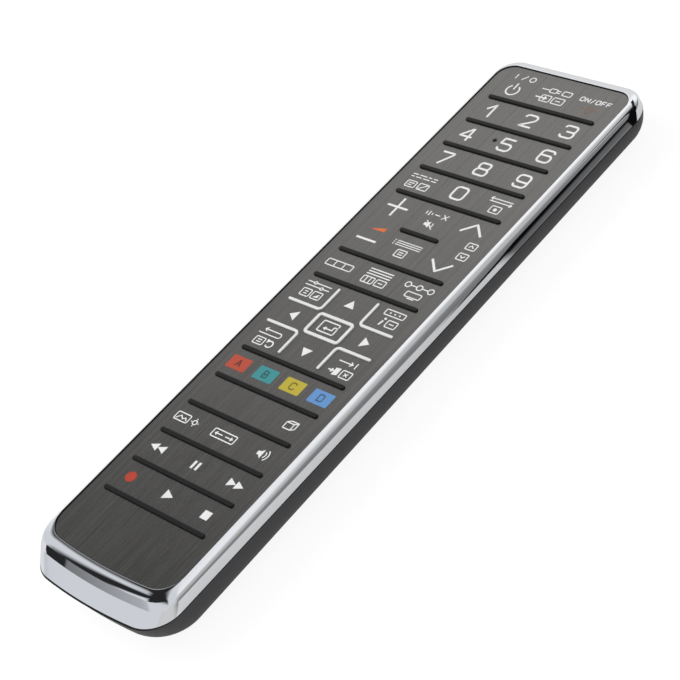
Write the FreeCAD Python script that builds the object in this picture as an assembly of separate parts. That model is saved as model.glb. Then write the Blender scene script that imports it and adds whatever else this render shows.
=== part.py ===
import FreeCAD, Part
import math
import os

from FreeCAD import Vector

# A long television remote control with big keys, lying on its back, in millimetres.
# X is its width, Y runs from the hand towards the infrared end and Z points up.
# The face and all that hangs under it are drawn in the face's own frame, whose top is
# z = 0. The case is deeper at the battery end, so the face slopes once the underside
# lies flat: settle() takes a piece from the face's frame to the part's frame.

# Rows of the face, from rib to rib
rib_length = 38.0
rib_width = 1.4
rib_height = 0.45
rib_edge_round = 0.25
short_rib_length = 13.8
row_pitch = 10.79
volume_row = 25.32
arrow_row = 30.13
digit_rows = 4
lower_rows = 5

# Sheet of the face and its keys
face_half_width = 23.4
face_far_margin = 14.06
face_near_margin = 19.08
face_far_radius = 5.0
face_near_radius = 7.0
end_bow_radius = 170.0
face_thickness = 0.5
field_half_width = 19.3
column_edge = 7.2
colour_edge = 10.2
seam = 0.05
slot_clearance = 0.05
key_travel = 0.3
key_edge_gap = 0.15
plunger_radius = 1.6
plunger_clearance = 0.4
rocker_reach = 8.5
rocker_ridge = 1.0

# Lighted lines round the arrow keys
line_width = 0.8
line_height = 0.35
ring_width = 13.0
ring_depth = 8.0
ring_line = 0.9
ring_radius = 1.3
line_offset_y = 4.5
line_end_x = 18.8
line_end_y = 12.5
line_corner = 1.2

# Layers under the face
key_gap = 0.4
mat_thickness = 0.6
guide_thickness = 0.65
frame_thickness = 0.8
layer_gap = 0.05
dome_gap = 0.2
dome_height = 0.35
dome_radius = 2.2
dome_top_radius = 1.0
dome_sheet_thickness = 0.2
board_thickness = 1.0
board_side_gap = 2.2
board_end_gap = 4.0
skirt_thickness = 1.0

# Bright bezel
bezel_gap = 0.05
bead_rise = 0.3
bead_side = 1.7
bead_far = 3.65
bead_near = 4.8
bead_inner_round = 0.25
crease_depth = 2.27
crease_far_radius = 6.75
crease_near_radius = 6.0
bezel_depth = 5.9
band_side = 0.1
band_far = 3.05
band_near = 4.2
band_far_radius = 11.2
band_near_radius = 10.0
bezel_wall = 1.3
bezel_ledge = 1.2

# Case
case_height = 16.75
face_slope = 0.6
case_inset = 0.1
case_near_inset = 1.2
case_near_radius = 13.5
case_wall = 1.5
bottom_round = 9.75
tongue_rows = (70.0, 0.0, -70.0)
tongue_length = 12.0
tongue_height = 1.0
tongue_root = 2.5
tongue_thickness = 0.9
tongue_gap = 0.1
post_radius = 2.0
post_x = 18.0
post_rows = (74.0, 30.0, -30.0, -80.0)

# Battery bay, in the part's frame
cell_radius = 5.25
cell_length = 44.5
cell_nub_radius = 1.9
cell_nub_length = 0.8
cell_spread = 5.6
cell_round = 0.6
cell_floor_gap = 0.25
bay_clearance = 0.4
bay_wall = 1.2
bay_setback = 2.4
shelf_depth = 6.0
contact_thickness = 0.3
contact_width = 8.0
contact_height = 8.5
spring_length = 3.6
spring_wire = 0.5
spring_foot_radius = 3.4
spring_tip_radius = 2.2
spring_turns = 3.0

# Battery door
door_near = -94.0
door_gap = 0.2
door_corner = 1.5
tab_x = 7.0
tab_width = 5.0
tab_reach = 1.5
tab_root = 0.6
tab_thickness = 1.0
tab_lift = 0.1
latch_width = 9.0
latch_thickness = 1.2
latch_setback = 1.0
groove_width = 10.0
groove_radius = 6.0
groove_depth = 0.6
groove_setback = 8.0

# Case screws, under the battery door
screw_x = 8.5
screw_radius = 0.95
screw_hole_gap = 0.2
screw_head_radius = 1.8
screw_head_height = 1.3
screw_seat = 3.6
screw_slot_length = 2.2
screw_slot_width = 0.5
boss_radius = 3.0

# Electronics
chip_size = 9.0
chip_height = 1.2
chip_y = 40.0
lead_count = 8
lead_width = 0.35
lead_length = 1.2
lead_height = 0.4
led_radius = 1.5
led_length = 5.0
led_flange = 0.3
led_flange_length = 0.8
led_x = 5.0
led_drop = 3.4
led_leg = 0.5
led_leg_offset = 1.0
led_leg_reach = 3.6
window_half_width = 10.0
window_top = 6.6
window_bottom = 11.0
window_gap = 0.1
window_end_gap = 0.9

# How far a cutting tool runs past what it cuts
tool_margin = 1.0

# Places worked out from the sizes above, in the face's frame
whole_rows = digit_rows + lower_rows + 1
rib_top = (whole_rows * row_pitch + volume_row + arrow_row) / 2.0
upper_ribs = [rib_top - i * row_pitch for i in range(digit_rows + 1)]
menu_top = upper_ribs[-1] - volume_row
arrow_top = menu_top - row_pitch
arrow_bottom = arrow_top - arrow_row
lower_ribs = [arrow_bottom - i * row_pitch for i in range(lower_rows + 1)]
volume_middle = (upper_ribs[-1] + menu_top) / 2.0
arrow_middle = (arrow_top + arrow_bottom) / 2.0
face_far = rib_top + face_far_margin
face_near = rib_top + face_near_margin
mat_top = face_thickness + key_gap
guide_top = mat_top + mat_thickness + layer_gap
frame_top = guide_top + guide_thickness + layer_gap
frame_bottom = frame_top + frame_thickness
mat_inset = bezel_ledge + slot_clearance
dome_top = frame_bottom + dome_gap
sheet_top = dome_top + dome_height
board_top = sheet_top + dome_sheet_thickness
board_bottom = board_top + board_thickness
plunger_tip = dome_top - key_travel - layer_gap

# Places in the part's frame
tilt = math.radians(face_slope)
band_half_width = face_half_width + bead_side + band_side
band_far_end = face_far + bead_far + band_far
band_near_end = face_near + bead_near + band_near
shift_y = (band_near_end - band_far_end) / 2.0 + bezel_depth * math.sin(tilt)
cell_axis = case_wall + cell_floor_gap + cell_radius
cell_top = cell_axis + cell_radius
bay_half_width = cell_spread + cell_radius + bay_clearance
bay_near = door_near + bay_setback + bay_wall
bay_far = bay_near + spring_length + cell_length + 2.0 * contact_thickness + bay_clearance
shelf_near = bay_far + bay_wall
door_far = shelf_near + shelf_depth
screw_y = (shelf_near + door_far) / 2.0


def settle(shape):
    """Turn and lift a shape from the face's frame into the part's frame."""
    placed = shape.copy()
    placed.rotate(Vector(0, 0, 0), Vector(1, 0, 0), -face_slope)
    placed.translate(Vector(0, shift_y, case_height))
    return placed


def box(x0, x1, y0, y1, z0, z1):
    """Box between two corners."""
    return Part.makeBox(x1 - x0, y1 - y0, z1 - z0, Vector(x0, y0, z0))


def cylinder(radius, x, y, z0, z1):
    """Upright cylinder between two heights."""
    return Part.makeCylinder(radius, z1 - z0, Vector(x, y, z0))


def polar(centre, radius, angle):
    """Point at an angle in degrees on a circle round a centre."""
    turn = math.radians(angle)
    return centre + Vector(radius * math.cos(turn), radius * math.sin(turn), 0)


def outline(half_width, far, near, far_radius, near_radius, z, bow=end_bow_radius):
    """Closed wire: straight sides, round corners and a near end that bows outward."""
    corner_x = half_width - near_radius
    bow_centre = Vector(0, bow - near, z)
    reach = bow - near_radius
    corner_drop = math.sqrt(reach * reach - corner_x * corner_x)
    near_corner = Vector(corner_x, bow_centre.y - corner_drop, z)
    far_corner = Vector(half_width - far_radius, far - far_radius, z)
    near_angle = -math.degrees(math.atan2(corner_drop, corner_x))
    side_low = polar(near_corner, near_radius, 0)
    side_high = polar(far_corner, far_radius, 0)
    far_end = polar(far_corner, far_radius, 90)
    bow_end = polar(near_corner, near_radius, near_angle)

    def mirrored(point):
        return Vector(-point.x, point.y, point.z)

    far_middle = polar(far_corner, far_radius, 45)
    near_middle = polar(near_corner, near_radius, near_angle / 2.0)
    edges = [
        Part.LineSegment(side_low, side_high),
        Part.Arc(side_high, far_middle, far_end),
        Part.LineSegment(far_end, mirrored(far_end)),
        Part.Arc(mirrored(far_end), mirrored(far_middle), mirrored(side_high)),
        Part.LineSegment(mirrored(side_high), mirrored(side_low)),
        Part.Arc(mirrored(side_low), mirrored(near_middle), mirrored(bow_end)),
        Part.Arc(mirrored(bow_end), Vector(0, -near, z), bow_end),
        Part.Arc(bow_end, near_middle, side_low),
    ]
    return Part.Wire([edge.toShape() for edge in edges])


def face_outline(inset, z):
    """Outline of the face, drawn in by inset."""
    return outline(face_half_width - inset, face_far - inset, face_near - inset,
                   face_far_radius - inset, face_near_radius - inset, z,
                   end_bow_radius - inset)


def case_outline(inset, z):
    """Outline of the case below the bezel, drawn in by inset."""
    total = case_inset + inset
    return outline(band_half_width - total, band_far_end - total,
                   band_near_end - case_near_inset - inset, band_far_radius - total,
                   case_near_radius - inset, z, end_bow_radius - inset)


def prism(wire, height):
    """Solid pulled straight up, or down where height is negative, from a closed wire."""
    return Part.Face(wire).extrude(Vector(0, 0, height))


def bar(x0, y0, x1, y1, width, z0, z1):
    """Upright bar with round ends along a line that runs along X or Y."""
    radius = width / 2.0
    if y0 == y1:
        body = box(min(x0, x1), max(x0, x1), y0 - radius, y0 + radius, z0, z1)
    else:
        body = box(x0 - radius, x0 + radius, min(y0, y1), max(y0, y1), z0, z1)
    ends = [cylinder(radius, x0, y0, z0, z1), cylinder(radius, x1, y1, z0, z1)]
    return body.fuse(ends).removeSplitter()


def rounded_block(width, depth, radius, y, z0, z1):
    """Block with round upright edges, centred on the middle line at y."""
    block = box(-width / 2.0, width / 2.0, y - depth / 2.0, y + depth / 2.0, z0, z1)
    upright = [edge for edge in block.Edges
               if abs(edge.Vertexes[0].Z - edge.Vertexes[-1].Z) > (z1 - z0) / 2.0]
    return block.makeFillet(radius, upright)


def rounded_plate(half_width, y0, y1, radius, z0, z1):
    """Plate with round upright edges between two places along Y."""
    plate = rounded_block(2.0 * half_width, y1 - y0, radius, 0, z0, z1)
    plate.translate(Vector(0, (y0 + y1) / 2.0, 0))
    return plate


def edges_at(shape, z):
    """Edges that lie flat at one height."""
    return [edge for edge in shape.Edges
            if abs(edge.BoundBox.ZMin - z) < 1e-4 and abs(edge.BoundBox.ZMax - z) < 1e-4]


def save(name, shape):
    """Write one node."""
    shape.exportStep("parts/%s.step" % name)


# Ribs, ring and lines that stand up through the sheet

def rib(y, length, extra, z0, z1):
    """One rib across the face, widened by extra on every side."""
    half = length / 2.0 - rib_width / 2.0
    return bar(-half, y, half, y, rib_width + 2.0 * extra, z0, z1)


def all_ribs(extra, z0, z1):
    """Every rib: full ones between the rows and a short one amid the volume row."""
    full = [rib(y, rib_length, extra, z0, z1)
            for y in upper_ribs + [menu_top, arrow_top] + lower_ribs]
    return full + [rib(volume_middle, short_rib_length, extra, z0, z1)]


def ring(extra, z0, z1):
    """Rounded ring round the middle key."""
    outer = rounded_block(ring_width + 2.0 * extra, ring_depth + 2.0 * extra,
                          ring_radius + extra, arrow_middle, z0, z1)
    inner = rounded_block(ring_width - 2.0 * (ring_line + extra),
                          ring_depth - 2.0 * (ring_line + extra),
                          ring_radius - ring_line - extra, arrow_middle, z0, z1)
    return outer.cut(inner)


def corner_line(side, end, extra, z0, z1):
    """One lighted angle between two arrow keys and a corner key."""
    half = line_width / 2.0 + extra
    centre_x = column_edge + line_corner
    centre_y = line_offset_y + line_corner
    bend = cylinder(line_corner + half, centre_x, centre_y, z0, z1)
    bend = bend.cut(cylinder(line_corner - half, centre_x, centre_y, z0, z1))
    bend = bend.common(box(0, centre_x, 0, centre_y, z0, z1))
    along_x = bar(centre_x, line_offset_y, line_end_x, line_offset_y, 2.0 * half, z0, z1)
    along_y = bar(column_edge, centre_y, column_edge, line_end_y, 2.0 * half, z0, z1)
    angle = bend.fuse([along_x, along_y]).removeSplitter()
    if side < 0:
        angle = angle.mirror(Vector(0, 0, 0), Vector(1, 0, 0))
    if end < 0:
        angle = angle.mirror(Vector(0, 0, 0), Vector(0, 1, 0))
    angle.translate(Vector(0, arrow_middle, 0))
    return angle


def all_lines(extra, z0, z1):
    """The ring and its four angles."""
    angles = [corner_line(side, end, extra, z0, z1) for side in (-1, 1) for end in (-1, 1)]
    return [ring(extra, z0, z1)] + angles


# Fields: the patch of the sheet that each key takes, as x0, x1, y0, y1

left = (-field_half_width, -column_edge)
middle = (-column_edge, column_edge)
right = (column_edge, field_half_width)
columns = (left, middle, right)
far_edge = face_far - bezel_ledge - key_edge_gap


def row_fields(names, low, high, spans):
    """Fields of one row of keys, left to right; None is a patch that isn't a key here."""
    return {name: [(x0, x1, low, high)] for name, (x0, x1) in zip(names, spans) if name}


colour_spans = ((-field_half_width, -colour_edge), (-colour_edge, 0.0),
                (0.0, colour_edge), (colour_edge, field_half_width))

field_rows = (
    (("key_power", "key_source", "key_light"), upper_ribs[0], far_edge, columns),
    (("key_1", "key_2", "key_3"), upper_ribs[1], upper_ribs[0], columns),
    (("key_4", "key_5", "key_6"), upper_ribs[2], upper_ribs[1], columns),
    (("key_7", "key_8", "key_9"), upper_ribs[3], upper_ribs[2], columns),
    (("key_teletext", "key_0", "key_previous"), upper_ribs[4], upper_ribs[3], columns),
    (("volume_rocker", None, "channel_rocker"), menu_top, upper_ribs[4], columns),
    ((None, "key_mute", None), volume_middle, upper_ribs[4], columns),
    ((None, "key_channel_list", None), menu_top, volume_middle, columns),
    (("key_content", "key_menu", "key_internet"), arrow_top, menu_top, columns),
    (("key_tools", None, "key_info"), arrow_middle + line_offset_y, arrow_top, columns),
    (("key_return", None, "key_exit"), arrow_bottom, arrow_middle - line_offset_y, columns),
    (("key_red", "key_green", "key_yellow", "key_blue"), lower_ribs[1], lower_ribs[0],
     colour_spans),
    ((None, None, "key_3d"), lower_ribs[2], lower_ribs[1], columns),
    (("key_picture_mode", "key_picture_size", "key_sound"), lower_ribs[3], lower_ribs[2],
     columns),
    (("key_rewind", "key_pause", "key_forward"), lower_ribs[4], lower_ribs[3], columns),
    (("key_record", "key_play", "key_stop"), lower_ribs[5], lower_ribs[4], columns),
)
fields = {}
for row_names, row_low, row_high, row_spans in field_rows:
    fields.update(row_fields(row_names, row_low, row_high, row_spans))

# The four arrow keys reach round the ring, so each has a second box beside it
ring_x = ring_width / 2.0
ring_y = ring_depth / 2.0
bend_x = ring_x - ring_radius
step_y = line_offset_y + line_width / 2.0
low_line = arrow_middle - line_offset_y
high_line = arrow_middle + line_offset_y
fields["key_left"] = [(-field_half_width, -ring_x, low_line, high_line),
                      (-field_half_width, -bend_x, arrow_middle - ring_y, arrow_middle + ring_y)]
fields["key_right"] = [(ring_x, field_half_width, low_line, high_line),
                       (bend_x, field_half_width, arrow_middle - ring_y, arrow_middle + ring_y)]
fields["key_up"] = [(-column_edge, column_edge, high_line, arrow_top),
                    (-ring_x, ring_x, arrow_middle + ring_y, arrow_middle + step_y)]
fields["key_down"] = [(-column_edge, column_edge, arrow_bottom, low_line),
                      (-ring_x, ring_x, arrow_middle - step_y, arrow_middle - ring_y)]
fields["key_enter"] = [(-ring_x + ring_line / 2.0, ring_x - ring_line / 2.0,
                        arrow_middle - ring_y + ring_line / 2.0,
                        arrow_middle + ring_y - ring_line / 2.0)]
rockers = ("volume_rocker", "channel_rocker")


def field_boxes(name, inset):
    """Boxes through the sheet over a key's field, drawn in by inset."""
    return [box(x0 + inset, x1 - inset, y0 + inset, y1 - inset, -mat_top, mat_top)
            for x0, x1, y0, y1 in fields[name]]


def plunger_places(name):
    """Middle of a key's field, or two places towards the ends of a rocker."""
    x0, x1, y0, y1 = fields[name][0]
    x = (x0 + x1) / 2.0
    y = (y0 + y1) / 2.0
    if name in rockers:
        return [(x, y - rocker_reach), (x, y + rocker_reach)]
    return [(x, y)]


places = [place for name in fields for place in plunger_places(name)]


def plunger_holes(z0, z1):
    """Round holes that let every plunger through a layer."""
    return [cylinder(plunger_radius + plunger_clearance, x, y, z0, z1) for x, y in places]


def screw_tools(radius, z0, z1):
    """Cylinders on the two screws' axes, in the part's frame."""
    return [cylinder(radius, side * screw_x, screw_y, z0, z1) for side in (-1, 1)]


def height_at(y, depth):
    """Height in the part's frame of the layer that lies at a depth below the face."""
    return case_height - depth * math.cos(tilt) - (y - shift_y) * math.tan(tilt)


# Face sheet with its slots, and the keys cut from it

sheet = prism(face_outline(bezel_gap, 0), -face_thickness)
slots = all_ribs(slot_clearance, -mat_top, mat_top) + all_lines(slot_clearance, -mat_top, mat_top)
slotted_sheet = sheet.cut(slots)


def face_plate():
    """Still part of the sheet: margins, blank patches and the bare near end."""
    taken = [piece for name in fields for piece in field_boxes(name, 0)]
    return slotted_sheet.cut(taken)


def key(name):
    """A key's patch of the sheet with its plunger; a rocker has two and a ridge."""
    boxes = field_boxes(name, seam / 2.0)
    field = boxes[0].fuse(boxes[1:]) if len(boxes) > 1 else boxes[0]
    patches = slotted_sheet.common(field).Solids
    patch = max(patches, key=lambda solid: solid.Volume)
    parts = [cylinder(plunger_radius, x, y, -plunger_tip, -face_thickness)
             for x, y in plunger_places(name)]
    if name in rockers:
        x0, x1, y0, y1 = fields[name][0]
        y = (y0 + y1) / 2.0
        parts.append(box(x0 + rib_width, x1 - rib_width, y - rocker_ridge / 2.0,
                         y + rocker_ridge / 2.0, -mat_top + layer_gap, -face_thickness))
    return patch.fuse(parts).removeSplitter()


# Layers under the sheet

def rib_mat():
    """Rubber mat whose ribs stand up between the rows of keys."""
    base = prism(face_outline(mat_inset, -mat_top), -mat_thickness)
    ribs = [piece.makeFillet(rib_edge_round, edges_at(piece, rib_height))
            for piece in all_ribs(0, -mat_top, rib_height)]
    angles = all_lines(2.0 * slot_clearance, -guide_top, 0)[1:]
    window = rounded_block(ring_width + 4.0 * slot_clearance, ring_depth + 4.0 * slot_clearance,
                           ring_radius, arrow_middle, -guide_top, 0)
    return settle(base.fuse(ribs).cut([window] + angles + plunger_holes(-guide_top, 0)))


def light_guide():
    """Pale sheet that carries light to the ring and the angles round the arrows."""
    base = prism(face_outline(mat_inset, -guide_top), -guide_thickness)
    guide = base.fuse(all_lines(0, -guide_top, line_height))
    return settle(guide.cut(plunger_holes(-frame_top, -mat_top)))


def inner_outline(inset, z):
    """Outline of the room inside the bezel below its ledge, drawn in by inset."""
    total = bezel_wall + inset
    return outline(face_half_width + bead_side - total, face_far + bead_far - total,
                   face_near + bead_near - total, crease_far_radius - total,
                   crease_near_radius - total, z, end_bow_radius - inset)


def board_outline(inset, z):
    """Outline of the circuit board, drawn in by inset."""
    return outline(face_half_width - board_side_gap - inset, face_far - board_end_gap - inset,
                   face_near - board_end_gap - inset, face_far_radius - inset,
                   face_near_radius - inset, z, end_bow_radius - inset)


def front_frame():
    """Stiff plate behind the mat, with a skirt round the board and two screw bosses."""
    skirt_bottom = bezel_depth - tongue_height - tongue_gap
    plate = prism(inner_outline(slot_clearance, -frame_top), -frame_thickness)
    skirt = prism(inner_outline(slot_clearance, -frame_bottom), frame_bottom - skirt_bottom)
    room = prism(inner_outline(slot_clearance + skirt_thickness, -frame_bottom),
                 frame_bottom - skirt_bottom)
    bosses = [cylinder(boss_radius, side * screw_x, screw_y - shift_y, -sheet_top, -frame_bottom)
              for side in (-1, 1)]
    frame = plate.fuse([skirt.cut(room)] + bosses).cut(plunger_holes(-dome_top, -guide_top))
    return settle(frame).cut(screw_tools(screw_radius, 0, screw_end + layer_gap))


def dome_sheet():
    """Thin sheet on the board with a click dome under every plunger."""
    base = prism(board_outline(dome_gap, -sheet_top), -dome_sheet_thickness)
    domes = [Part.makeCone(dome_radius, dome_top_radius, dome_height, Vector(x, y, -sheet_top))
             for x, y in places]
    return settle(base.fuse(domes)).cut(screw_tools(boss_radius + dome_gap, 0, 2.0 * case_height))


def circuit_board():
    """Printed board with holes for the case screws."""
    board = settle(prism(board_outline(0, -board_top), -board_thickness))
    return board.cut(screw_tools(screw_radius + screw_hole_gap, 0, 2.0 * case_height))


def controller_chip():
    """Control chip under the board, with leads on its four sides."""
    half = chip_size / 2.0
    reach = half + lead_length
    top = -board_bottom
    body = box(-half, half, chip_y - half, chip_y + half, top - chip_height,
               top - lead_height / 2.0)
    leads = []
    for i in range(lead_count):
        low = chip_size * (i + 1) / (lead_count + 1) - half - lead_width / 2.0
        high = low + lead_width
        leads.append(box(-reach, reach, chip_y + low, chip_y + high, top - lead_height, top))
        leads.append(box(low, high, chip_y - reach, chip_y + reach, top - lead_height, top))
    return settle(body.fuse(leads).removeSplitter())


def infrared_leds():
    """Two round infrared lamps that look out at the far end, with legs to the board."""
    front = band_far_end - case_inset - case_wall - window_end_gap - led_radius
    back = front - led_length
    z = -board_bottom - led_drop
    ahead = Vector(0, 1, 0)
    half_leg = led_leg / 2.0
    lamps = []
    for x in (-led_x, led_x):
        start = Vector(x, back, z)
        body = Part.makeCylinder(led_radius, led_length, start, ahead)
        flange = Part.makeCylinder(led_radius + led_flange, led_flange_length, start, ahead)
        pieces = [flange, Part.makeSphere(led_radius, Vector(x, front, z))]
        for side in (-1, 1):
            leg_x = x + side * led_leg_offset
            leg_end = back - led_leg_reach
            pieces.append(box(leg_x - half_leg, leg_x + half_leg, leg_end, back,
                              z - half_leg, z + half_leg))
            pieces.append(box(leg_x - half_leg, leg_x + half_leg, leg_end, leg_end + led_leg,
                              z, -board_bottom))
        lamps.append(settle(body.fuse(pieces).removeSplitter()))
    return Part.makeCompound(lamps)


# Bezel and case

def bezel_blank():
    """Outer form of the bezel: a rounded bead down to a crease, then a plain band."""
    wires = []
    for angle in (0, 22.5, 45, 67.5, 90):
        out = math.sin(math.radians(angle))
        drop = 1.0 - math.cos(math.radians(angle))
        wires.append(outline(face_half_width + bead_side * out, face_far + bead_far * out,
                             face_near + bead_near * out,
                             face_far_radius + (crease_far_radius - face_far_radius) * out,
                             face_near_radius + (crease_near_radius - face_near_radius) * out,
                             bead_rise - (bead_rise + crease_depth) * drop))
    bead = Part.makeLoft(wires, True, False)
    lower_edge = outline(band_half_width, band_far_end, band_near_end, band_far_radius,
                         band_near_radius, -bezel_depth)
    band = Part.makeLoft([wires[-1], lower_edge], True, True)
    return bead.fuse(band)


def chrome_bezel():
    """Bright frame round the face, with the ledge that the sheet rests on."""
    above = bead_rise + tool_margin
    opening = prism(face_outline(0, above), -above - face_thickness)
    well = prism(face_outline(bezel_ledge, above), -above - bezel_depth)
    room = prism(inner_outline(0, -frame_top), frame_top - bezel_depth)
    bezel = bezel_blank().cut([opening, well, room])
    return settle(bezel.makeFillet(bead_inner_round, edges_at(bezel, bead_rise)))


def case_form(inset, floor):
    """Solid form of the case below the bezel, drawn in by inset, above a floor height."""
    reach = 2.0 * (band_far_end + band_near_end)
    tall = settle(prism(case_outline(inset, 0), -2.0 * case_height))
    form = tall.cut(box(-reach, reach, -reach, reach, -reach, floor))
    form = form.makeFillet(bottom_round - inset, edges_at(form, floor))
    return form.cut(settle(box(-reach, reach, -reach, reach, -bezel_depth, reach)))


def window_block(gap):
    """Block that the infrared window takes out of the far wall, drawn in by gap."""
    return settle(box(gap - window_half_width, window_half_width - gap,
                      band_far_end - bottom_round, band_far_end + bottom_round,
                      gap - window_bottom, -window_top - gap))


case_outside = case_form(0, 0)
case_skin = case_outside.cut(case_form(case_wall, case_wall))
screw_end = height_at(screw_y, frame_bottom - frame_thickness / 2.0)


def battery_bay():
    """Walls round the door's opening, two ribs that end the bay and the screws' shelf."""
    inside_near = door_near - tab_reach - bay_clearance
    low = case_wall / 2.0
    rib_low = case_wall + door_gap
    wide = bay_half_width + bay_wall
    walls = box(-wide, wide, inside_near - bay_wall, door_far + bay_wall, low, cell_top)
    walls = walls.cut(box(-bay_half_width, bay_half_width, inside_near, door_far, 0,
                          2.0 * cell_top))
    near_rib = box(-wide, wide, bay_near - bay_wall, bay_near, rib_low, cell_top)
    shelf = box(-wide, wide, bay_far + bay_wall / 2.0, door_far + bay_wall / 2.0, screw_seat,
                cell_top)
    far_rib = box(-wide, wide, bay_far, shelf_near, rib_low, cell_top)
    return [walls, near_rib, far_rib, shelf]


def tongues():
    """Snap tongues on the long walls that stand up inside the bezel."""
    outer_x = face_half_width + bead_side - bezel_wall - tongue_gap
    pieces = []
    for y in tongue_rows:
        for side in (-1, 1):
            x = side * (outer_x - tongue_thickness / 2.0)
            pieces.append(settle(box(x - tongue_thickness / 2.0, x + tongue_thickness / 2.0,
                                     y - tongue_length / 2.0, y + tongue_length / 2.0,
                                     -bezel_depth - tongue_root,
                                     -bezel_depth + tongue_height)))
    return pieces


def rear_shell():
    """Lower half of the case, with its tongues, posts, battery bay and screw bosses."""
    posts = [settle(cylinder(post_radius, side * post_x, y, -2.0 * case_height, -board_bottom))
             for y in post_rows for side in (-1, 1)]
    posts = [post.common(case_outside) for post in posts]
    board_plane = settle(box(-face_half_width, face_half_width, -face_near, face_far,
                             -board_bottom, 0))
    bosses = [tool.cut(board_plane) for tool in screw_tools(boss_radius, screw_seat, case_height)]
    shell = case_skin.fuse(posts + bosses + battery_bay() + tongues())
    opening = rounded_plate(bay_half_width, door_near, door_far, door_corner, -tool_margin,
                            case_wall + layer_gap)
    holes = screw_tools(screw_radius + screw_hole_gap, 0, case_height)
    return shell.cut([opening, window_block(0)] + holes).removeSplitter()


def battery_door():
    """Cover flush with the underside, with two hinge tabs and a latch rib."""
    near = door_near + door_gap
    far = door_far - door_gap
    plate = rounded_plate(bay_half_width - door_gap, near, far, door_corner - door_gap, 0,
                          case_wall)
    top = case_wall + tab_lift + tab_thickness
    pieces = []
    for side in (-1, 1):
        x0 = side * tab_x - tab_width / 2.0
        x1 = x0 + tab_width
        pieces.append(box(x0, x1, door_near - tab_reach, near + tab_root, case_wall + tab_lift,
                          top))
        pieces.append(box(x0, x1, near, near + tab_root, case_wall / 2.0, top))
    latch_far = far - latch_setback
    pieces.append(box(-latch_width / 2.0, latch_width / 2.0, latch_far - latch_thickness,
                      latch_far, case_wall / 2.0, screw_seat - door_gap))
    groove = Part.makeCylinder(groove_radius, groove_width,
                               Vector(-groove_width / 2.0, far - groove_setback,
                                      groove_depth - groove_radius), Vector(1, 0, 0))
    return plate.fuse(pieces).removeSplitter().cut(groove)


def infrared_window():
    """Dark pane in the far wall, flush with the case."""
    return case_skin.common(window_block(window_gap))


def batteries():
    """Two cells side by side, laid opposite ways."""
    cells = []
    for side in (-1, 1):
        length = cell_length - cell_nub_length
        start = bay_near + contact_thickness + spring_length
        if side > 0:
            start = bay_far - contact_thickness - spring_length
        ahead = Vector(0, -side, 0)
        foot = Vector(side * cell_spread, start, cell_axis)
        body = Part.makeCylinder(cell_radius, length, foot, ahead)
        body = body.makeFillet(cell_round, body.Edges)
        nub = Part.makeCylinder(cell_nub_radius, cell_nub_length,
                                foot + ahead * length, ahead)
        cells.append(body.fuse(nub))
    return Part.makeCompound(cells)


def spring(side):
    """Cone spring on a contact plate, unwound from a formula."""
    rise = spring_length - spring_wire
    turns = spring_turns
    path = Part.makeHelix(rise / turns, rise, spring_foot_radius,
                          -math.degrees(math.atan2(spring_foot_radius - spring_tip_radius, rise)))
    section = Part.Wire(Part.makeCircle(spring_wire / 2.0, Vector(spring_foot_radius, 0, 0),
                                        Vector(0, 1, 0)))
    coil = Part.Wire(path.Edges).makePipeShell([section], True, True)
    coil.translate(Vector(0, 0, spring_wire / 2.0))
    return coil


def battery_contacts():
    """Four contact plates and the two springs that press the cells."""
    pieces = []
    low = cell_axis - contact_height / 2.0
    for side in (-1, 1):
        x = side * cell_spread
        for y in (bay_near, bay_far - contact_thickness):
            pieces.append(box(x - contact_width / 2.0, x + contact_width / 2.0, y,
                              y + contact_thickness, low, low + contact_height))
        coil = spring(side)
        coil.rotate(Vector(0, 0, 0), Vector(1, 0, 0), 90.0 if side > 0 else -90.0)
        y = bay_far - contact_thickness if side > 0 else bay_near + contact_thickness
        coil.translate(Vector(x, y, cell_axis))
        pieces.append(coil)
    return Part.makeCompound(pieces)


def case_screws():
    """Two screws up through the shelf and the board into the front frame."""
    screws = []
    for side in (-1, 1):
        x = side * screw_x
        head = cylinder(screw_head_radius, x, screw_y, screw_seat - screw_head_height, screw_seat)
        shaft = cylinder(screw_radius, x, screw_y, screw_seat, screw_end)
        slot = box(x - screw_slot_length / 2.0, x + screw_slot_length / 2.0,
                   screw_y - screw_slot_width / 2.0, screw_y + screw_slot_width / 2.0,
                   screw_seat - screw_head_height, screw_seat - screw_head_height / 2.0)
        cross = slot.copy()
        cross.rotate(Vector(x, screw_y, 0), Vector(0, 0, 1), 90)
        screws.append(head.fuse(shaft).cut([slot, cross]))
    return Part.makeCompound(screws)


os.makedirs("parts", exist_ok=True)
for name in fields:
    save(name, settle(key(name)))
save("face_plate", settle(face_plate()))
save("rib_mat", rib_mat())
save("light_guide", light_guide())
save("front_frame", front_frame())
save("dome_sheet", dome_sheet())
save("circuit_board", circuit_board())
save("controller_chip", controller_chip())
save("infrared_leds", infrared_leds())
save("chrome_bezel", chrome_bezel())
save("rear_shell", rear_shell())
save("battery_door", battery_door())
save("infrared_window", infrared_window())
save("batteries", batteries())
save("battery_contacts", battery_contacts())
save("case_screws", case_screws())
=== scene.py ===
import bpy
import bmesh
import math
from mathutils import Matrix, Vector


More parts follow.
